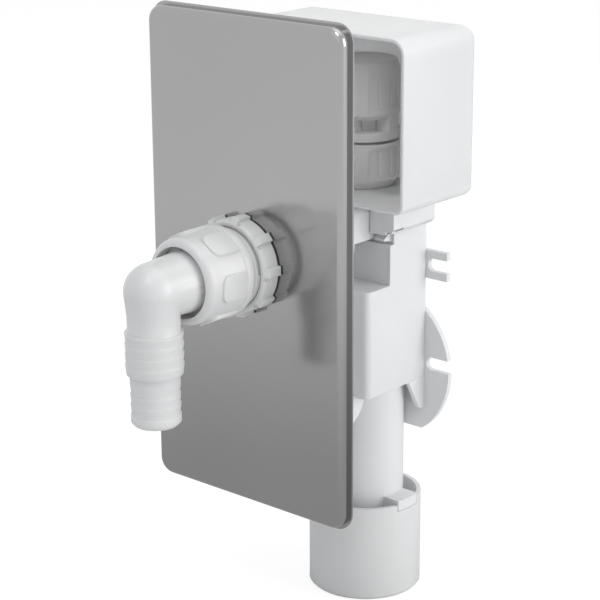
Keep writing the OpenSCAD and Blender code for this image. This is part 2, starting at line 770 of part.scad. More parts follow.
module body_cap() {
    w = cap_w / 2;
    y0 = rear_y - cap_d;
    chamfer = 2.6;
    latch_slot_w = 6.7;
    latch_slot_h = 1;
    latch_window_w = 2.6;
    latch_window_h = 1.6;
    color([0.91, 0.92, 0.92])
    difference() {
        union() {
            block([-w, y0, skirt_z + chamfer], [w, rear_y, cap_top_z]);
            translate([0, rear_y, 0]) rotate([90, 0, 0]) linear_extrude(cap_d)
                polygon([[-w, skirt_z + chamfer + eps], [-w + chamfer, skirt_z],
                    [w - chamfer, skirt_z], [w, skirt_z + chamfer + eps]]);
            on_valve() translate([0, 0, cap_top_z - eps])
                cylinder(r = valve_neck_r, h = valve_neck_h + eps);
            on_valve() translate([0, 0, cap_top_z - eps])
                cylinder(r = valve_neck_r + 1.3, h = shoulder_h + eps);
        }
        block([-w + skirt_wall, y0 + cap_wall, skirt_z - 1], [w - skirt_wall, 1, cap_top_z - cap_wall]);
        on_valve() translate([0, 0, cap_top_z - cap_wall - 1])
            cylinder(r = valve_neck_r - 2, h = valve_neck_h + 10);
        block([-vent_box_w / 2 - 0.4, y0 - 1, skirt_z - 1],
            [vent_box_w / 2 + 0.4, y0 + cap_wall + 1, vent_box_top_z + 0.4]);
        for (side = [-1, 1]) translate([side * w, y0 + 4, skirt_z + 2.4])
            cube([2 * skirt_wall + 2, latch_slot_w, latch_slot_h], center = true);
        for (side = [-1, 1]) translate([side * (w - 3.2), y0, skirt_z])
            cube([latch_window_w, 2 * cap_wall + 2, 2 * latch_window_h], center = true);
    }
}

module cap_seal() {
    color([0.2, 0.2, 0.2])
    difference() {
        block([-seat_half_w + 0.4, upper_y - 1.2, rim_z], [seat_half_w - 0.4, rear_y - 0.4, rim_z + gasket_t]);
        block([-half_w + wall, upper_y + wall, rim_z - 1], [half_w - wall, rear_y - wall, rim_z + gasket_t + 1]);
    }
}

// Shallow grip recesses with two upright grooves each, cut round a valve piece
module valve_grip(z, h) {
    groove_w = 1;
    difference() {
        children();
        for (i = [0 : grip_count - 1]) on_valve() rotate([0, 0, grip_turn + i * 360 / grip_count]) {
            intersection() {
                ring(valve_r + 1, valve_r - grip_depth, z, z + h);
                linear_extrude(z + h + 1) polygon([[0, 0],
                    [2 * valve_r, -2 * valve_r * tan(grip_span / 2)],
                    [2 * valve_r, 2 * valve_r * tan(grip_span / 2)]]);
            }
            for (side = [-1, 1]) rotate([0, 0, side * grip_span / 5])
                block([valve_r - 2 * grip_depth, -groove_w / 2, z + 1], [valve_r + 1, groove_w / 2, z + h - 1]);
        }
    }
}

module valve_nut() {
    lip_z = vbase_z + 1.6;
    color([0.9, 0.9, 0.89])
    valve_grip(vnut_z + 3, valve_nut_len - 5) on_valve() difference() {
        union() {
            translate([0, 0, vnut_collar_z]) cylinder(r = valve_r - 1.6, h = vnut_z - vnut_collar_z + eps);
            translate([0, 0, vnut_z]) cylinder(r1 = valve_r - 1.4, r2 = valve_r, h = 1.8);
            translate([0, 0, vnut_z + 1.8 - eps]) cylinder(r = valve_r, h = valve_nut_len - 1.8 + eps);
        }
        translate([0, 0, vnut_z - 2]) cylinder(r = valve_neck_r + thread_gap, h = lip_z - vnut_z + 2);
        translate([0, 0, lip_z - 1]) cylinder(r = valve_neck_r - 1.0, h = valve_nut_len);
    }
}

module valve_seal() {
    color([0.2, 0.2, 0.2])
    on_valve() ring(valve_neck_r - 0.3, valve_neck_r - 2, vneck_top_z, vbase_z);
}

module valve_base() {
    color([0.9, 0.9, 0.89])
    on_valve() {
        difference() {
            union() {
                translate([0, 0, vbase_z]) cylinder(r = valve_neck_r - 0.2, h = 1.4);
                translate([0, 0, vbase_z]) cylinder(r = valve_neck_r - 1.3, h = vflange_z - vbase_z + 1);
                translate([0, 0, vflange_z]) cylinder(r = valve_r, h = valve_flange_t);
                translate([0, 0, intake_z - eps]) cylinder(r = tube_r, h = seat_z - intake_z + eps);
            }
            translate([0, 0, vbase_z - 1]) cylinder(r = vent_bore_r, h = seat_z - vbase_z + 2);
        }
        ring(seat_out_r, seat_in_r, vcap_z - 1.6, seat_z);
        for (i = [0 : intake_ribs - 1]) rotate([0, 0, intake_rib_turn + i * 360 / intake_ribs])
            intersection() {
                block([tube_r - 0.4, -intake_rib_w / 2, intake_z - eps], [valve_r, intake_rib_w / 2, vcap_z]);
                cylinder(r = valve_r - 0.2, h = vcap_z + 1);
            }
    }
}

module valve_membrane() {
    color([0.25, 0.25, 0.26])
    on_valve() ring(seat_out_r - membrane_gap, vent_bore_r + 0.4, seat_z + face_gap,
        seat_z + face_gap + membrane_t);
}

module valve_cap() {
    r_in = valve_r - vcap_wall;
    stop_z = seat_z + face_gap + membrane_t + membrane_lift + 0.3;
    color([0.9, 0.9, 0.89])
    valve_grip(vcap_z + 3, vcap_h - vcap_taper_h - 5) on_valve() {
        difference() {
            union() {
                translate([0, 0, vcap_z]) cylinder(r = valve_r, h = vcap_h - vcap_taper_h);
                translate([0, 0, vcap_top_z - vcap_taper_h - eps])
                    cylinder(r1 = valve_r, r2 = valve_r - 1, h = vcap_taper_h + eps);
            }
            translate([0, 0, vcap_z - 1]) cylinder(r = r_in, h = vcap_h - 1.6 - vcap_taper_h + 1);
            translate([0, 0, vcap_top_z - 1.6 - vcap_taper_h - eps])
                cylinder(r1 = r_in, r2 = r_in - 1, h = vcap_taper_h + eps);
        }
        ring(seat_in_r - 1, seat_in_r - 2.4, stop_z, vcap_top_z - 1);
    }
}

// Outline of the hood seen from the front, with round corners above and below
module hood_front(inset) {
    w = hood_w / 2 - inset;
    r = hood_r - inset;
    low_r = max(hood_low_r - inset, 0.2);
    top = hood_top_z - inset;
    low = hood_base_z + inset;
    translate([-w, low + low_r]) square([2 * w, top - r - low - low_r]);
    translate([-w + r, low + low_r]) square([2 * (w - r), top - low - low_r]);
    translate([-w + low_r, low]) square([2 * (w - low_r), low_r + eps]);
    for (x = [-1, 1]) {
        translate([x * (w - r), top - r]) circle(r = r);
        translate([x * (w - low_r), low + low_r]) circle(r = low_r);
    }
}

// Plan of the hood, with round rear corners
module hood_plan(inset) {
    w = hood_w / 2 - inset;
    r = hood_r - inset;
    front = inset > 0 ? -hood_d - 1 : -hood_d;
    translate([-w, front]) square([2 * w, -inset - r - front]);
    translate([-w + r, front]) square([2 * (w - r), -inset - front]);
    for (x = [-1, 1]) translate([x * (w - r), -inset - r]) circle(r = r);
}

module hood_block(inset) {
    intersection() {
        translate([0, 1, 0]) rotate([90, 0, 0]) linear_extrude(hood_d + 3) hood_front(inset);
        translate([0, 0, hood_base_z - 2]) linear_extrude(hood_top_z - hood_base_z + 3) hood_plan(inset);
    }
}

module hood() {
    color([0.93, 0.94, 0.95])
    difference() {
        hood_block(0);
        hood_block(hood_wall);
        on_valve() translate([0, 0, hood_base_z - 1]) cylinder(r = valve_neck_r + 0.3, h = hood_wall + 2);
    }
}

module outlet_sleeve() {
    hub_in_r = pipe_r + hub_gap;
    hub_out_r = hub_in_r + seal_t + 1.6;
    web_z = sleeve_top_z - web_drop;
    seal_z = web_z - web_t - 1;
    color([0.9, 0.9, 0.9])
    translate([0, pipe_y, 0]) difference() {
        union() {
            ring(sleeve_r, sleeve_r - sleeve_wall, sleeve_end_z + 1, sleeve_top_z);
            difference() {
                translate([0, 0, sleeve_end_z]) cylinder(r1 = sleeve_r - 0.8, r2 = sleeve_r, h = 1 + eps);
                translate([0, 0, sleeve_end_z - 1]) cylinder(r = sleeve_r - sleeve_wall, h = 3);
            }
            ring(sleeve_r - sleeve_wall + 0.2, hub_in_r, web_z - web_t, web_z);
            ring(hub_out_r, hub_in_r, web_z - hub_len, web_z);
        }
        ring(hub_in_r + seal_t, hub_in_r - 1, seal_z - seal_groove_w, seal_z);
        for (side = [-1, 1]) translate([side * sleeve_r, 0, sleeve_top_z])
            cube([2 * sleeve_wall + 6, lock_w + 0.8, 2 * (lock_t - lock_rise) + 0.6], center = true);
    }
}

module sleeve_seal() {
    hub_in_r = pipe_r + hub_gap;
    seal_z = sleeve_top_z - web_drop - web_t - 1;
    color([0.15, 0.15, 0.15])
    translate([0, pipe_y, 0])
        ring(hub_in_r + seal_t - 0.1, pipe_r + 0.05, seal_z - seal_groove_w + 0.1, seal_z - 0.1);
}

cover_plate();
plate_washer();
lock_ring();
inlet_spigot();
spigot_seal();
union_nut();
elbow_seal();
hose_elbow();
trap_body();
side_cover();
body_cap();
cap_seal();
valve_nut();
valve_seal();
valve_base();
valve_membrane();
valve_cap();
hood();
outlet_sleeve();
sleeve_seal();
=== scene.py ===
import math

import bmesh
import bpy
from mathutils import Matrix, Vector


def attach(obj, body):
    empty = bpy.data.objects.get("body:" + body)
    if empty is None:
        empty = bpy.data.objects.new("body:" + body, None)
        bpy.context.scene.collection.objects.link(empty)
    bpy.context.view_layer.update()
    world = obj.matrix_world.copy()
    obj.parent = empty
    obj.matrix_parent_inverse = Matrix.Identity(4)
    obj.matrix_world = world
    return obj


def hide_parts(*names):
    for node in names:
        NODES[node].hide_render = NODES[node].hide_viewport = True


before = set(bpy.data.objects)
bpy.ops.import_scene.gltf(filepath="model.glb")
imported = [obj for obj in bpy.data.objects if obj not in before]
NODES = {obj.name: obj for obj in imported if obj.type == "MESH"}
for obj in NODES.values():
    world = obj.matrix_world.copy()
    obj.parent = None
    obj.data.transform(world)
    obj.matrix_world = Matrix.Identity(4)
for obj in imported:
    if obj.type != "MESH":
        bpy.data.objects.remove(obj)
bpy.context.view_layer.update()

MM = 0.001
PROFILE_MERGE = 0.01
SLIVER = 0.001
FLOOR_Z = -0.1008


# Camera and light

def place_camera():
    """The photograph's camera: 41 degrees round from the front and 17 degrees above."""
    a, e, roll = math.radians(41.02), math.radians(17.23), math.radians(-0.32)
    right = Vector((math.cos(a), math.sin(a), 0))
    up = Vector((-math.sin(e) * math.sin(a), math.sin(e) * math.cos(a), math.cos(e)))
    back = Vector((math.sin(a) * math.cos(e), -math.cos(a) * math.cos(e), math.sin(e)))
    turned_right = right * math.cos(roll) + up * math.sin(roll)
    turned_up = up * math.cos(roll) - right * math.sin(roll)
    camera_data = bpy.data.cameras.new("photo_camera")
    camera_data.lens = 113.156
    camera_data.sensor_width = 36
    camera_data.clip_end = 20
    camera = bpy.data.objects.new("photo_camera", camera_data)
    turn = Matrix((turned_right, turned_up, back)).transposed().to_4x4()
    camera.matrix_world = Matrix.Translation((0.49342, -0.62826, 0.27460)) @ turn
    bpy.context.scene.collection.objects.link(camera)
    bpy.context.scene.camera = camera
    bpy.context.scene.view_settings.view_transform = "Standard"


def soft_lamp(name, place, aim, size, watts):
    lamp_data = bpy.data.lights.new(name, "AREA")
    lamp_data.shape = "RECTANGLE"
    lamp_data.size, lamp_data.size_y = size
    lamp_data.energy = watts
    lamp = bpy.data.objects.new(name, lamp_data)
    lamp.location = place
    lamp.rotation_euler = (Vector(aim) - Vector(place)).to_track_quat("-Z", "Y").to_euler()
    bpy.context.scene.collection.objects.link(lamp)


def light_studio():
    middle = (0, -0.05, 0.03)
    soft_lamp("right_lamp", (1.55, 0.40, 0.50), middle, (1.1, 1.1), 12)
    soft_lamp("top_lamp", (0.1, 0.1, 1.6), middle, (1.4, 1.4), 5)
    soft_lamp("front_lamp", (-0.2, -1.8, 0.8), middle, (1.6, 1.2), 1)
    soft_lamp("over_plate_lamp", (0.15, -0.62, 0.86), (0, -0.03, 0.12), (0.35, 0.35), 1.5)
    world = bpy.data.worlds.new("pale_room")
    bpy.context.scene.world = world
    world.use_nodes = True
    tree = world.node_tree
    tree.nodes.clear()
    path = tree.nodes.new("ShaderNodeLightPath")
    seen = tree.nodes.new("ShaderNodeMath")
    seen.operation = "MAXIMUM"
    seen_through = tree.nodes.new("ShaderNodeMath")
    seen_through.operation = "MAXIMUM"
    room = tree.nodes.new("ShaderNodeBackground")
    room.inputs["Color"].default_value = (0.97, 0.98, 1.0, 1)
    room.inputs["Strength"].default_value = 0.54
    white = tree.nodes.new("ShaderNodeBackground")
    white.inputs["Color"].default_value = (1, 1, 1, 1)
    white.inputs["Strength"].default_value = 1.0
    mix = tree.nodes.new("ShaderNodeMixShader")
    out = tree.nodes.new("ShaderNodeOutputWorld")
    link = tree.links.new
    link(path.outputs["Is Camera Ray"], seen.inputs[0])
    link(path.outputs["Is Glossy Ray"], seen.inputs[1])
    link(seen.outputs[0], seen_through.inputs[0])
    link(path.outputs["Is Transmission Ray"], seen_through.inputs[1])
    link(seen_through.outputs[0], mix.inputs["Fac"])
    link(room.outputs[0], mix.inputs[1])
    link(white.outputs[0], mix.inputs[2])
    link(mix.outputs[0], out.inputs["Surface"])


def floor_material():
    material = bpy.data.materials.new("pale_floor")
    material.use_nodes = True
    tree = material.node_tree
    tree.nodes.clear()
    path = tree.nodes.new("ShaderNodeLightPath")
    seen = tree.nodes.new("ShaderNodeMath")
    seen.operation = "MAXIMUM"
    share = tree.nodes.new("ShaderNodeMath")
    share.operation = "MULTIPLY"
    share.inputs[1].default_value = 0.7
    paint = tree.nodes.new("ShaderNodeBsdfDiffuse")
    paint.inputs["Color"].default_value = (0.86, 0.86, 0.86, 1)
    place = tree.nodes.new("ShaderNodeTexCoord")
    apart = tree.nodes.new("ShaderNodeVectorMath")
    apart.operation = "LENGTH"
    # Painted shade in reflections: for glossy rays only, the floor's white emission is darkened near the
    # object (0.42 at 0.30 m from the origin, rising to 1.0 at 0.75 m), so the steel plate shows a painted
    # floor shadow.
    reflected_floor_shade = tree.nodes.new("ShaderNodeMapRange")
    reflected_floor_shade.inputs["From Min"].default_value = 0.30
    reflected_floor_shade.inputs["From Max"].default_value = 0.75
    reflected_floor_shade.inputs["To Min"].default_value = 0.42
    reflected_floor_shade.inputs["To Max"].default_value = 1.0
    tone = tree.nodes.new("ShaderNodeMixRGB")
    tone.inputs["Color1"].default_value = (1, 1, 1, 1)
    white = tree.nodes.new("ShaderNodeEmission")
    white.inputs["Strength"].default_value = 1.2
    mix = tree.nodes.new("ShaderNodeMixShader")
    out = tree.nodes.new("ShaderNodeOutputMaterial")
    link = tree.links.new
    link(place.outputs["Object"], apart.inputs[0])
    link(apart.outputs["Value"], reflected_floor_shade.inputs["Value"])
    link(path.outputs["Is Glossy Ray"], tone.inputs["Fac"])
    link(reflected_floor_shade.outputs["Result"], tone.inputs["Color2"])
    link(tone.outputs["Color"], white.inputs["Color"])
    link(path.outputs["Is Camera Ray"], seen.inputs[0])
    link(path.outputs["Is Glossy Ray"], seen.inputs[1])
    link(seen.outputs[0], share.inputs[0])
    link(share.outputs[0], mix.inputs["Fac"])
    link(paint.outputs[0], mix.inputs[1])
    link(white.outputs[0], mix.inputs[2])
    link(mix.outputs[0], out.inputs["Surface"])
    return material


def lay_floor():
    bpy.ops.object.select_all(action="DESELECT")
    bpy.ops.mesh.primitive_plane_add(size=12, location=(0, 0, FLOOR_Z))
    floor = bpy.context.object
    floor.name = "floor"
    bpy.ops.object.transform_apply(location=True, rotation=True, scale=True)
    floor.data.materials.append(floor_material())


# Shared surface effects

def new_group(name, inputs, outputs):
    """A shader node group with named sockets; returns its tree with the two end nodes."""
    group = bpy.data.node_groups.new(name, "ShaderNodeTree")
    for label, kind, value in inputs:
        socket = group.interface.new_socket(label, in_out="INPUT", socket_type=kind)
        if value is not None:
            socket.default_value = value
    for label, kind in outputs:
        group.interface.new_socket(label, in_out="OUTPUT", socket_type=kind)
    return group, group.nodes.new("NodeGroupInput"), group.nodes.new("NodeGroupOutput")


def moulded_skin_group():
    """Fine mould texture, slow waviness of the wall and faint flow shade of moulded plastic."""
    group, start, end = new_group("moulded_skin", [
        ("Colour", "NodeSocketColor", (0.8, 0.8, 0.8, 1)),
        ("Shade", "NodeSocketFloat", 0.04),
        ("Grain", "NodeSocketFloat", 0.02),
        ("Gloss", "NodeSocketFloat", 0.35),
    ], [("Colour", "NodeSocketColor"), ("Roughness", "NodeSocketFloat"), ("Normal", "NodeSocketVector")])
    nodes, link = group.nodes, group.links.new
    place = nodes.new("ShaderNodeTexCoord")
    flow = nodes.new("ShaderNodeTexNoise")
    flow.inputs["Scale"].default_value = 22
    flow.inputs["Detail"].default_value = 3
    grain = nodes.new("ShaderNodeTexNoise")
    grain.inputs["Scale"].default_value = 2600
    grain.inputs["Detail"].default_value = 2
    smear = nodes.new("ShaderNodeTexNoise")
    smear.inputs["Scale"].default_value = 70
    smear.inputs["Detail"].default_value = 4
    for texture in (flow, grain, smear):
        link(place.outputs["Object"], texture.inputs["Vector"])
    swing = nodes.new("ShaderNodeMath")
    swing.operation = "SUBTRACT"
    swing.inputs[1].default_value = 0.5
    link(flow.outputs["Fac"], swing.inputs[0])
    amount = nodes.new("ShaderNodeMath")
    amount.operation = "MULTIPLY"
    link(swing.outputs[0], amount.inputs[0])
    link(start.outputs["Shade"], amount.inputs[1])
    level = nodes.new("ShaderNodeMath")
    level.operation = "ADD"
    level.inputs[1].default_value = 1.0
    link(amount.outputs[0], level.inputs[0])
    tint = nodes.new("ShaderNodeVectorMath")
    tint.operation = "SCALE"
    link(start.outputs["Colour"], tint.inputs[0])
    link(level.outputs[0], tint.inputs["Scale"])
    link(tint.outputs[0], end.inputs["Colour"])
    gloss = nodes.new("ShaderNodeMath")
    gloss.operation = "MULTIPLY_ADD"
    gloss.inputs[1].default_value = 0.05
    link(smear.outputs["Fac"], gloss.inputs[0])
    link(start.outputs["Gloss"], gloss.inputs[2])
    link(gloss.outputs[0], end.inputs["Roughness"])
    bump = nodes.new("ShaderNodeBump")
    bump.inputs["Distance"].default_value = 0.0002
    link(start.outputs["Grain"], bump.inputs["Strength"])
    link(grain.outputs["Fac"], bump.inputs["Height"])
    wave = nodes.new("ShaderNodeBump")
    wave.inputs["Strength"].default_value = 0.04
    wave.inputs["Distance"].default_value = 0.0012
    link(flow.outputs["Fac"], wave.inputs["Height"])
    link(bump.outputs["Normal"], wave.inputs["Normal"])
    link(wave.outputs["Normal"], end.inputs["Normal"])
    return group


def use_group(material, group, **values):
    node = material.node_tree.nodes.new("ShaderNodeGroup")
    node.node_tree = group
    for label, value in values.items():
        node.inputs[label].default_value = value
    return node


def new_material(name):
    material = bpy.data.materials.new(name)
    material.use_nodes = True
    shader = material.node_tree.nodes["Principled BSDF"]
    return material, shader, material.node_tree.links.new


def plastic(name, colour, skin, shade=0.02, grain=0.25, gloss=0.28, glow=0.0):
    material, shader, link = new_material(name)
    surface = use_group(material, skin, Colour=colour + (1,), Shade=shade, Grain=grain, Gloss=gloss)
    link(surface.outputs["Colour"], shader.inputs["Base Color"])
    link(surface.outputs["Roughness"], shader.inputs["Roughness"])
    link(surface.outputs["Normal"], shader.inputs["Normal"])
    shader.inputs["IOR"].default_value = 1.5
    shader.inputs["Subsurface Weight"].default_value = glow
    shader.inputs["Subsurface Radius"].default_value = (1.0, 1.0, 1.0)
    shader.inputs["Subsurface Scale"].default_value = 0.009
    return material


def polished_steel():
    """Mirror-polished sheet with hairline wipe marks and a slow waviness from the press."""
    material, shader, link = new_material("polished_steel_sheet")
    nodes = material.node_tree.nodes
    place = nodes.new("ShaderNodeTexCoord")
    stretch = nodes.new("ShaderNodeMapping")
    stretch.inputs["Scale"].default_value = (900, 900, 14)
    link(place.outputs["Object"], stretch.inputs["Vector"])
    hairs = nodes.new("ShaderNodeTexNoise")
    hairs.inputs["Scale"].default_value = 1.0
    hairs.inputs["Detail"].default_value = 2
    link(stretch.outputs["Vector"], hairs.inputs["Vector"])
    wave = nodes.new("ShaderNodeTexNoise")
    wave.inputs["Scale"].default_value = 9
    wave.inputs["Detail"].default_value = 1
    link(place.outputs["Object"], wave.inputs["Vector"])
    rough = nodes.new("ShaderNodeMapRange")
    rough.inputs["To Min"].default_value = 0.10
    rough.inputs["To Max"].default_value = 0.19
    link(hairs.outputs["Fac"], rough.inputs["Value"])
    link(rough.outputs["Result"], shader.inputs["Roughness"])
    tone = nodes.new("ShaderNodeMapRange")
    tone.inputs["To Min"].default_value = 0.36
    tone.inputs["To Max"].default_value = 0.40
    link(wave.outputs["Fac"], tone.inputs["Value"])
    link(tone.outputs["Result"], shader.inputs["Base Color"])
    bend = nodes.new("ShaderNodeBump")
    bend.inputs["Strength"].default_value = 0.15
    bend.inputs["Distance"].default_value = 0.0006
    link(wave.outputs["Fac"], bend.inputs["Height"])
    scratch = nodes.new("ShaderNodeBump")
    scratch.inputs["Strength"].default_value = 0.03
    scratch.inputs["Distance"].default_value = 0.0001
    link(hairs.outputs["Fac"], scratch.inputs["Height"])
    link(bend.outputs["Normal"], scratch.inputs["Normal"])
    link(scratch.outputs["Normal"], shader.inputs["Normal"])
    shader.inputs["Metallic"].default_value = 1.0
    return material


def rubber(name, tone):
    material, shader, link = new_material(name)
    nodes = material.node_tree.nodes
    place = nodes.new("ShaderNodeTexCoord")
    dust = nodes.new("ShaderNodeTexNoise")
    dust.inputs["Scale"].default_value = 240
    dust.inputs["Detail"].default_value = 5
    link(place.outputs["Object"], dust.inputs["Vector"])
    shade = nodes.new("ShaderNodeMapRange")
    shade.inputs["To Min"].default_value = tone * 0.8
    shade.inputs["To Max"].default_value = tone * 1.6
    link(dust.outputs["Fac"], shade.inputs["Value"])
    link(shade.outputs["Result"], shader.inputs["Base Color"])
    rough = nodes.new("ShaderNodeMapRange")
    rough.inputs["To Min"].default_value = 0.55
    rough.inputs["To Max"].default_value = 0.8
    link(dust.outputs["Fac"], rough.inputs["Value"])
    link(rough.outputs["Result"], shader.inputs["Roughness"])
    bump = nodes.new("ShaderNodeBump")
    bump.inputs["Strength"].default_value = 0.2
    bump.inputs["Distance"].default_value = 0.0002
    link(dust.outputs["Fac"], bump.inputs["Height"])
    link(bump.outputs["Normal"], shader.inputs["Normal"])
    return material


def dress(material, *names):
    for name in names:
        slots = NODES[name].material_slots
        if not slots:
            NODES[name].data.materials.append(material)
        for slot in slots:
            slot.material = material


# Modelling by hand

def clear_selection():
    if bpy.context.object and bpy.context.object.mode != "OBJECT":
        bpy.ops.object.mode_set(mode="OBJECT")
    bpy.ops.object.select_all(action="DESELECT")


def work_on(piece):
    clear_selection()
    bpy.context.view_layer.objects.active = piece
    piece.select_set(True)


def metres(point):
    return [value * MM for value in point]


def add_block(name, low, high):
    """A block between two corners in millimetres, with its place in its mesh."""
    clear_selection()
    bpy.ops.mesh.primitive_cube_add(size=1, location=metres([(a + b) / 2 for a, b in zip(low, high)]))
    piece = bpy.context.object
    piece.name = name
    piece.scale = metres([b - a for a, b in zip(low, high)])
    bpy.ops.object.transform_apply(location=True, rotation=True, scale=True)
    return piece


def add_drum(name, radius, length, middle, tilt=(0, 0, 0), sides=96):
    clear_selection()
    bpy.ops.mesh.primitive_cylinder_add(vertices=sides, radius=radius * MM, depth=length * MM,
                                        location=metres(middle), rotation=tilt)
    piece = bpy.context.object
    piece.name = name
    bpy.ops.object.transform_apply(location=True, rotation=True, scale=True)
    return piece


def pick(piece, kind, test):
    """Selects the vertices, edges or faces of a piece that pass the test, in edit mode."""
    work_on(piece)
    bpy.ops.object.mode_set(mode="EDIT")
    bpy.ops.mesh.select_mode(type=kind)
    bpy.ops.mesh.select_all(action="DESELECT")
    shape = bmesh.from_edit_mesh(piece.data)
    for item in {"VERT": shape.verts, "EDGE": shape.edges, "FACE": shape.faces}[kind]:
        item.select_set(bool(test(item)))
    shape.select_flush_mode()
    bmesh.update_edit_mesh(piece.data)


def leave_edit():
    bpy.ops.object.mode_set(mode="OBJECT")


def middle_of(edge):
    return (edge.verts[0].co + edge.verts[1].co) / (2 * MM)


def round_edges(piece, test, radius, steps=6):
    pick(piece, "EDGE", test)
    bpy.ops.mesh.bevel(offset=radius * MM, segments=steps, affect="EDGES")
    leave_edit()


def draw_profile(name, points, place):
    """A vertex extruded along a closed profile, left in edit mode with all of it selected."""
    clear_selection()
    bpy.ops.mesh.primitive_plane_add(size=MM)
    piece = bpy.context.object
    piece.name = name
    path = [Vector(metres(place(*point))) for point in points]
    bpy.ops.object.mode_set(mode="EDIT")
    bpy.ops.mesh.select_mode(type="VERT")
    bpy.ops.mesh.select_all(action="SELECT")
    bpy.ops.mesh.merge(type="CENTER")
    bpy.ops.transform.translate(value=path[0])
    for here, there in zip(path, path[1:] + path[:1]):
        bpy.ops.mesh.extrude_region_move(TRANSFORM_OT_translate={"value": there - here})
    bpy.ops.mesh.select_all(action="SELECT")
    bpy.ops.mesh.remove_doubles(threshold=PROFILE_MERGE * MM)
    bpy.ops.mesh.select_all(action="SELECT")
    return piece


def spin_profile(name, points, place, axis, centre, steps=120):
    """A closed profile spun round an axis."""
    piece = draw_profile(name, points, place)
    bpy.ops.mesh.spin(steps=steps, angle=2 * math.pi, center=metres(centre), axis=axis)
    bpy.ops.mesh.select_all(action="SELECT")
    bpy.ops.mesh.remove_doubles(threshold=PROFILE_MERGE * MM)
    bpy.ops.mesh.select_all(action="SELECT")
    bpy.ops.mesh.delete_loose()
    bpy.ops.mesh.select_all(action="SELECT")
    bpy.ops.mesh.normals_make_consistent(inside=False)
    leave_edit()
    return piece


def arc(centre, radius, start, end, steps=6):
    """Points of a round corner in a profile, its angles in degrees."""
    turns = [math.radians(start + (end - start) * i / steps) for i in range(steps + 1)]
    return [(centre[0] + radius * math.cos(t), centre[1] + radius * math.sin(t)) for t in turns]


def turned_copies(piece, count, axis, centre, first=0.0):
    """The piece turned by its first angle and copied round an axis, each copy with its own mesh."""
    copies = [piece]
    for i in range(1, count):
        copy = piece.copy()
        copy.data = piece.data.copy()
        bpy.context.scene.collection.objects.link(copy)
        copies.append(copy)
    shift = Matrix.Translation(metres(centre))
    for i, copy in enumerate(copies):
        turn = Matrix.Rotation(math.radians(first) + 2 * math.pi * i / count, 4, axis)
        work_on(copy)
        copy.matrix_world = shift @ turn @ shift.inverted()
        bpy.context.view_layer.update()
        bpy.ops.object.transform_apply(location=True, rotation=True, scale=True)
    return copies


def as_one(pieces, name):
    clear_selection()
    for piece in pieces:
        piece.select_set(True)
    bpy.context.view_layer.objects.active = pieces[0]
    if len(pieces) > 1:
        bpy.ops.object.join()
    pieces[0].name = name
    return pieces[0]


def combine(piece, tool, operation):
    work_on(piece)
    change = piece.modifiers.new("join", "BOOLEAN")
    change.operation = operation
    change.solver = "EXACT"
    change.object = tool
    bpy.ops.object.modifier_apply(modifier=change.name)
    bpy.data.objects.remove(tool)


def ease_edges(piece, width, angle=35, steps=2, clamped=True):
    """A narrow round on every edge sharper than the angle, then smooth shading."""
    work_on(piece)
    ease = piece.modifiers.new("ease", "BEVEL")
    ease.width = width * MM
    ease.segments = steps
    ease.limit_method = "ANGLE"
    ease.angle_limit = math.radians(angle)
    ease.use_clamp_overlap = clamped
    ease.harden_normals = False
    bpy.ops.object.modifier_apply(modifier=ease.name)
    bpy.ops.object.shade_smooth_by_angle(angle=math.radians(angle))


def stand_for(piece, material, body, *names):
    piece.data.materials.clear()
    piece.data.materials.append(material)
    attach(piece, body)
    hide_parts(*names)


# Mouldings whose form is already in the solids, with their moulded edges softened

def soften_moulding(name, node, material, body, width, clamped=True):
    """A copy of one node, merged by distance, with a narrow round on its sharp edges."""
    piece = NODES[node].copy()
    piece.data = NODES[node].data.copy()
    bpy.context.scene.collection.objects.link(piece)
    piece.name = name
    work_on(piece)
    piece.parent = None
    bpy.ops.object.transform_apply(location=True, rotation=True, scale=True)
    bpy.ops.object.mode_set(mode="EDIT")
    bpy.ops.mesh.select_all(action="SELECT")
    bpy.ops.mesh.remove_doubles(threshold=0.005 * MM)
    bpy.ops.mesh.dissolve_limited(angle_limit=math.radians(0.5))
    leave_edit()
    ease_edges(piece, width, clamped=clamped)
    stand_for(piece, material, body, node)


# Hood over the valve

HOOD_LOW, HOOD_HIGH = (-45.8, -51.0, 82.8), (45.8, 0.0, 153.8)
HOOD_WALL = 1.6


def model_hood(material):
    """A thin box with soft corners, open at the front, with the neck's hole in its floor."""
    hood = add_block("protective_hood", HOOD_LOW, HOOD_HIGH)
    front, top, low = HOOD_LOW[1], HOOD_HIGH[2], HOOD_LOW[2]

    def upper_or_rear(edge):
        spot = middle_of(edge)
        along_side = abs(abs(spot.x) - HOOD_HIGH[0]) < 0.1
        return (spot.y > front + 1 and (spot.z > top - 0.1 or along_side and spot.y > -0.1)
                and (along_side or spot.y > -0.1))

    round_edges(hood, upper_or_rear, 6.8, 10)
    round_edges(hood, lambda edge: all(v.co.z < (low + 0.05) * MM for v in edge.verts)
                and middle_of(edge).y > front + 0.1, 4.0, 8)
    pick(hood, "FACE", lambda face: face.normal.y < -0.99)
    bpy.ops.mesh.inset(thickness=HOOD_WALL * MM)
    bpy.ops.mesh.extrude_region_move(TRANSFORM_OT_translate={"value": (0, (-HOOD_WALL - front) * MM, 0)})
    leave_edit()
    round_edges(hood, lambda edge: all(abs(v.co.y / MM + HOOD_WALL) < 0.05 for v in edge.verts), 2.2, 5)
    round_edges(hood, lambda edge: all(abs(v.co.y / MM - front) < 0.05 for v in edge.verts)
                and len(edge.link_faces) == 2 and edge.calc_face_angle() > 0.5, 0.4, 3)
    combine(hood, add_drum("neck_hole", 13.2, 4, (0, VALVE_Y, low + HOOD_WALL / 2)), "DIFFERENCE")
    work_on(hood)
    bpy.ops.object.shade_smooth_by_angle(angle=math.radians(32))
    stand_for(hood, material, "trap", "hood")


# Union nut, lock ring and threaded nose on the inlet's axis

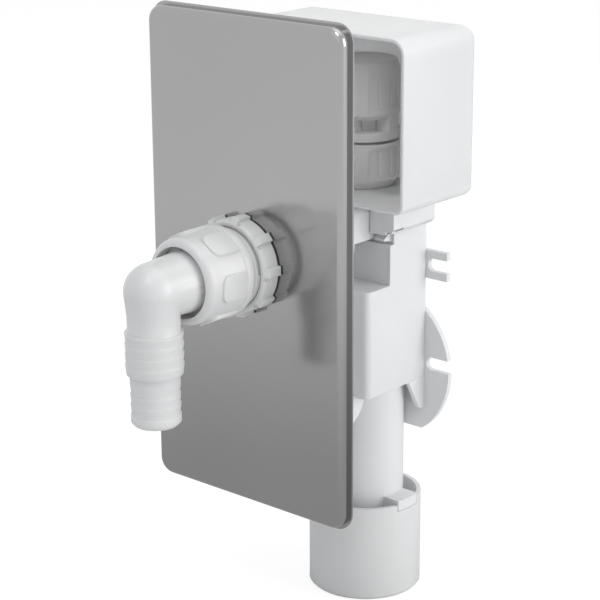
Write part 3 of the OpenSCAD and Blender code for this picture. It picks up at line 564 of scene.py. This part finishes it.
PLATE_Y, INLET_Z = -95.5, 65.2
INLET_CENTRE = (0, 0, INLET_Z)


def on_inlet(radius, ahead):
    return radius, PLATE_Y - ahead, INLET_Z


def spin_on_inlet(name, points, steps=120):
    return spin_profile(name, points, on_inlet, (0, 1, 0), INLET_CENTRE, steps)


def model_union_nut(material):
    """Nut with a rear rim, a round front shoulder and six flat grip pads."""
    start, end, bore, hole = 14.4, 37.0, 16.68, 14.3
    nut = spin_on_inlet("hose_union_nut", (
        [(bore, start + 0.4), (bore + 0.4, start), (18.6, start), (18.9, start + 0.3), (18.9, start + 2.7)]
        + [(18.75, start + 3.0), (18.25, start + 3.25), (18.1, start + 3.7), (17.5, end - 3.2)]
        + arc((14.3, end - 3.2), 3.2, 8, 82, 8)
        + [(hole + 0.1, end), (hole, end - 0.3), (hole, end - 5), (bore, end - 5)]))
    pad = add_block("grip_pad", (-5.5, PLATE_Y - start - 3.4 - 12.8, INLET_Z + 16.8),
                    (5.5, PLATE_Y - start - 2.9, INLET_Z + 18.45))
    front = PLATE_Y - start - 3.4 - 12.8
    round_edges(pad, lambda edge: abs(middle_of(edge).y - front) < 0.05
                and abs(abs(middle_of(edge).x) - 5.5) < 0.05, 3.6, 7)
    round_edges(pad, lambda edge: all(v.co.z > (INLET_Z + 18.4) * MM for v in edge.verts)
                and edge.calc_face_angle() > 0.5, 0.45, 3)
    pads = as_one(turned_copies(pad, 6, "Y", INLET_CENTRE, -26), "grip_pads")
    combine(nut, pads, "UNION")
    work_on(nut)
    bpy.ops.object.shade_smooth_by_angle(angle=math.radians(38))
    stand_for(nut, material, "nut", "union_nut")


def model_lock_ring(material):
    """Castellated ring that holds the plate: nine lugs with a notch beside each."""
    start, end, bore, outer = 0.6, 8.6, 16.68, 19.3
    ring = spin_on_inlet("castle_ring", [
        (bore, start), (outer - 0.2, start), (outer, start + 0.2), (outer, end - 1.5),
        (outer - 0.15, end - 1.15), (outer - 0.95, end - 0.12), (outer - 1.25, end), (bore + 0.5, end), (bore, end - 0.5)])
    lug = add_block("lug", (outer - 1.2, PLATE_Y - end + 0.3, INLET_Z - 1.9),
                    (outer + 1.5, PLATE_Y - start, INLET_Z + 1.9))
    pick(lug, "FACE", lambda face: face.normal.x > 0.9)
    bpy.ops.mesh.select_mode(type="EDGE")
    bpy.ops.mesh.bevel(offset=0.25 * MM, segments=2, affect="EDGES")
    leave_edit()
    pick(lug, "VERT", lambda v: v.co.x > (outer + 0.4) * MM and v.co.y < (PLATE_Y - end + 1.2) * MM)
    bpy.ops.transform.translate(value=(0, 1.3 * MM, 0))
    leave_edit()
    lugs = as_one(turned_copies(lug, 9, "Y", INLET_CENTRE, -2), "lugs")
    combine(ring, lugs, "UNION")
    notch = add_block("notch", (outer - 1.1, PLATE_Y - end - 0.5, INLET_Z - 3.3),
                      (outer + 0.6, PLATE_Y - end + 1.4, INLET_Z - 1.8))
    notches = as_one(turned_copies(notch, 9, "Y", INLET_CENTRE, -2), "notches")
    combine(ring, notches, "DIFFERENCE")
    work_on(ring)
    bpy.ops.object.shade_smooth_by_angle(angle=math.radians(32))
    stand_for(ring, material, "trap", "lock_ring")


def model_threaded_nose(material):
    """Spigot with its flange behind the plate and a real thread on the nose."""
    core, crest, bore, pitch, turns = 15.9, 16.55, 12.2, 2.4, 7
    nose = spin_on_inlet("threaded_nose", [
        (bore, -33.8), (13.9, -33.8), (14.4, -33.3), (14.4, -4.1), (14.8, -3.8), (19.7, -3.8), (20, -3.5),
        (20, -0.8), (16.6, -0.8), (16.6, 7.0), (core, 7.4), (core, 24.6), (core - 0.4, 25), (bore, 25)])
    ridge = draw_profile("thread_ridge", [
        (core - 0.3, 7.2), (core - 0.3, 8.9), (crest, 8.35), (crest, 7.75)], on_inlet)
    bpy.ops.transform.translate(value=(0, 0, -INLET_Z * MM))
    leave_edit()
    screw = ridge.modifiers.new("thread", "SCREW")
    screw.axis = "Y"
    screw.screw_offset = -pitch * MM
    screw.iterations = turns
    screw.steps = 60
    screw.render_steps = 60
    screw.use_merge_vertices = False
    work_on(ridge)
    bpy.ops.object.modifier_apply(modifier=screw.name)
    bpy.ops.object.mode_set(mode="EDIT")
    bpy.ops.mesh.select_all(action="SELECT")
    bpy.ops.transform.translate(value=(0, 0, INLET_Z * MM))
    bpy.ops.mesh.select_all(action="DESELECT")
    bpy.ops.mesh.select_non_manifold()
    bpy.ops.mesh.edge_face_add()
    bpy.ops.mesh.select_all(action="SELECT")
    bpy.ops.mesh.normals_make_consistent(inside=False)
    leave_edit()
    combine(nose, ridge, "UNION")
    work_on(nose)
    bpy.ops.object.mode_set(mode="EDIT")
    bpy.ops.mesh.select_all(action="SELECT")
    bpy.ops.mesh.remove_doubles(threshold=SLIVER * MM)
    bpy.ops.mesh.dissolve_degenerate(threshold=SLIVER * MM)
    leave_edit()
    work_on(nose)
    bpy.ops.object.shade_smooth_by_angle(angle=math.radians(32))
    stand_for(nose, material, "trap", "inlet_spigot")


# Air valve

VALVE_Y = -19.5
VALVE_CENTRE = (0, VALVE_Y, 0)
VALVE_R = 15.4


def on_valve(radius, height):
    return radius, VALVE_Y, height


def cut_grips(piece, low, high, round_top):
    """Four shallow grip recesses with two upright grooves each."""
    reach = VALVE_R * math.sin(math.radians(31))
    panel = add_block("grip", (VALVE_R * 0.6, VALVE_Y - reach, low), (VALVE_R + 2, VALVE_Y + reach, high))
    round_edges(panel, lambda edge: abs(middle_of(edge).z - high) < 0.05
                and abs(abs(middle_of(edge).y - VALVE_Y) - reach) < 0.05, round_top, 6)
    round_edges(panel, lambda edge: abs(middle_of(edge).z - low) < 0.05
                and abs(abs(middle_of(edge).y - VALVE_Y) - reach) < 0.05, 1.0, 3)
    core = add_drum("core", VALVE_R - 0.5, high - low + 4, (0, VALVE_Y, (low + high) / 2))
    combine(panel, core, "DIFFERENCE")
    panels = as_one(turned_copies(panel, 4, "Z", VALVE_CENTRE, -12.5), "grips")
    combine(piece, panels, "DIFFERENCE")
    grooves = []
    for side in (-11.9, 11.9):
        turn = math.radians(side)
        groove = add_drum("groove", 0.6, high - low - 2.4, (
            (VALVE_R - 0.35) * math.cos(turn), VALVE_Y + (VALVE_R - 0.35) * math.sin(turn), (low + high) / 2),
            sides=14)
        round_edges(groove, lambda edge: abs(abs(middle_of(edge).z - (low + high) / 2)
                                             - (high - low - 2.4) / 2) < 0.05, 0.4, 3)
        grooves += turned_copies(groove, 4, "Z", VALVE_CENTRE, -12.5)
    combine(piece, as_one(grooves, "grooves"), "DIFFERENCE")


def model_valve_nut(material):
    bottom, top, bore = 85.4, 103.5, 12.98
    nut = spin_profile("valve_union_nut", [
        (bore, bottom - 0.9), (13.4, bottom - 0.9), (13.4, bottom + 0.7), (14.2, bottom + 0.7),
        (15.2, bottom + 1.9), (15.4, bottom + 2.4), (15.4, top - 0.5), (15.25, top - 0.15),
        (14.9, top), (11.9, top),
        (11.9, top - 2), (bore, top - 2)], on_valve, (0, 0, 1), VALVE_CENTRE)
    cut_grips(nut, bottom + 3, top - 2, 3.0)
    ease_edges(nut, 0.14)
    stand_for(nut, material, "trap", "valve_nut")


def model_valve_cap(material):
    bottom, top = 115.4, 138.1
    cap = spin_profile("valve_dome_cap", (
        [(14.0, bottom), (15.2, bottom), (15.4, bottom + 0.2), (15.4, top - 4.4), (15.3, top - 3.8)]
        + arc((13.0, top - 1.5), 1.5, 15, 90, 5)
        + [(0, top), (0, top - 1.6), (9.9, top - 1.6), (9.9, 121.6), (11.3, 121.6), (11.3, top - 1.6),
           (13.0, top - 1.6), (14.0, top - 5.8)]), on_valve, (0, 0, 1), VALVE_CENTRE)
    cut_grips(cap, bottom + 3, top - 6.2, 3.0)
    ease_edges(cap, 0.14)
    stand_for(cap, material, "trap", "valve_cap")


place_camera()
light_studio()
lay_floor()
skin = moulded_skin_group()
steel = polished_steel()
body_plastic = plastic("body_plastic", (0.81, 0.815, 0.82), skin)
# The fittings' white plastic is darkened to 0.72 as painted shade, standing in for the shade on the lock ring
# and hose tail.
fitting_plastic_darkened = plastic("fitting_plastic_darkened", (0.72, 0.72, 0.72), skin, gloss=0.22)
hood_plastic = plastic("hood_plastic", (0.93, 0.935, 0.94), skin, gloss=0.22, glow=0.7)
# The valve's plastic is lighter than the body's as painted light: it brightens the valve where it sits in the
# hood's shade.
valve_plastic_lightened = plastic("valve_plastic_lightened", (0.93, 0.92, 0.91), skin, gloss=0.34)
sleeve_plastic = plastic("sleeve_plastic", (0.75, 0.75, 0.75), skin)
black_rubber = rubber("black_rubber", 0.02)
pale_rubber = rubber("pale_rubber", 0.12)
dress(steel, "cover_plate")
dress(black_rubber, "spigot_seal", "elbow_seal", "cap_seal", "valve_seal",
      "valve_membrane", "sleeve_seal")
dress(pale_rubber, "plate_washer")
dress(fitting_plastic_darkened, "lock_ring", "union_nut", "hose_elbow", "inlet_spigot")
dress(hood_plastic, "hood")
dress(body_plastic, "trap_body", "side_cover", "body_cap")
dress(valve_plastic_lightened, "valve_nut", "valve_base", "valve_cap")
dress(sleeve_plastic, "outlet_sleeve")

model_hood(hood_plastic)
model_union_nut(fitting_plastic_darkened)
model_lock_ring(fitting_plastic_darkened)
model_threaded_nose(fitting_plastic_darkened)
model_valve_nut(valve_plastic_lightened)
model_valve_cap(valve_plastic_lightened)
soften_moulding("welded_side_wall", "side_cover", body_plastic, "trap", 0.2)
soften_moulding("skirted_cap", "body_cap", body_plastic, "trap", 0.12, clamped=False)
soften_moulding("waste_sleeve", "outlet_sleeve", sleeve_plastic, "trap", 0.12, clamped=False)
soften_moulding("swivel_elbow", "hose_elbow", fitting_plastic_darkened, "elbow", 0.15)
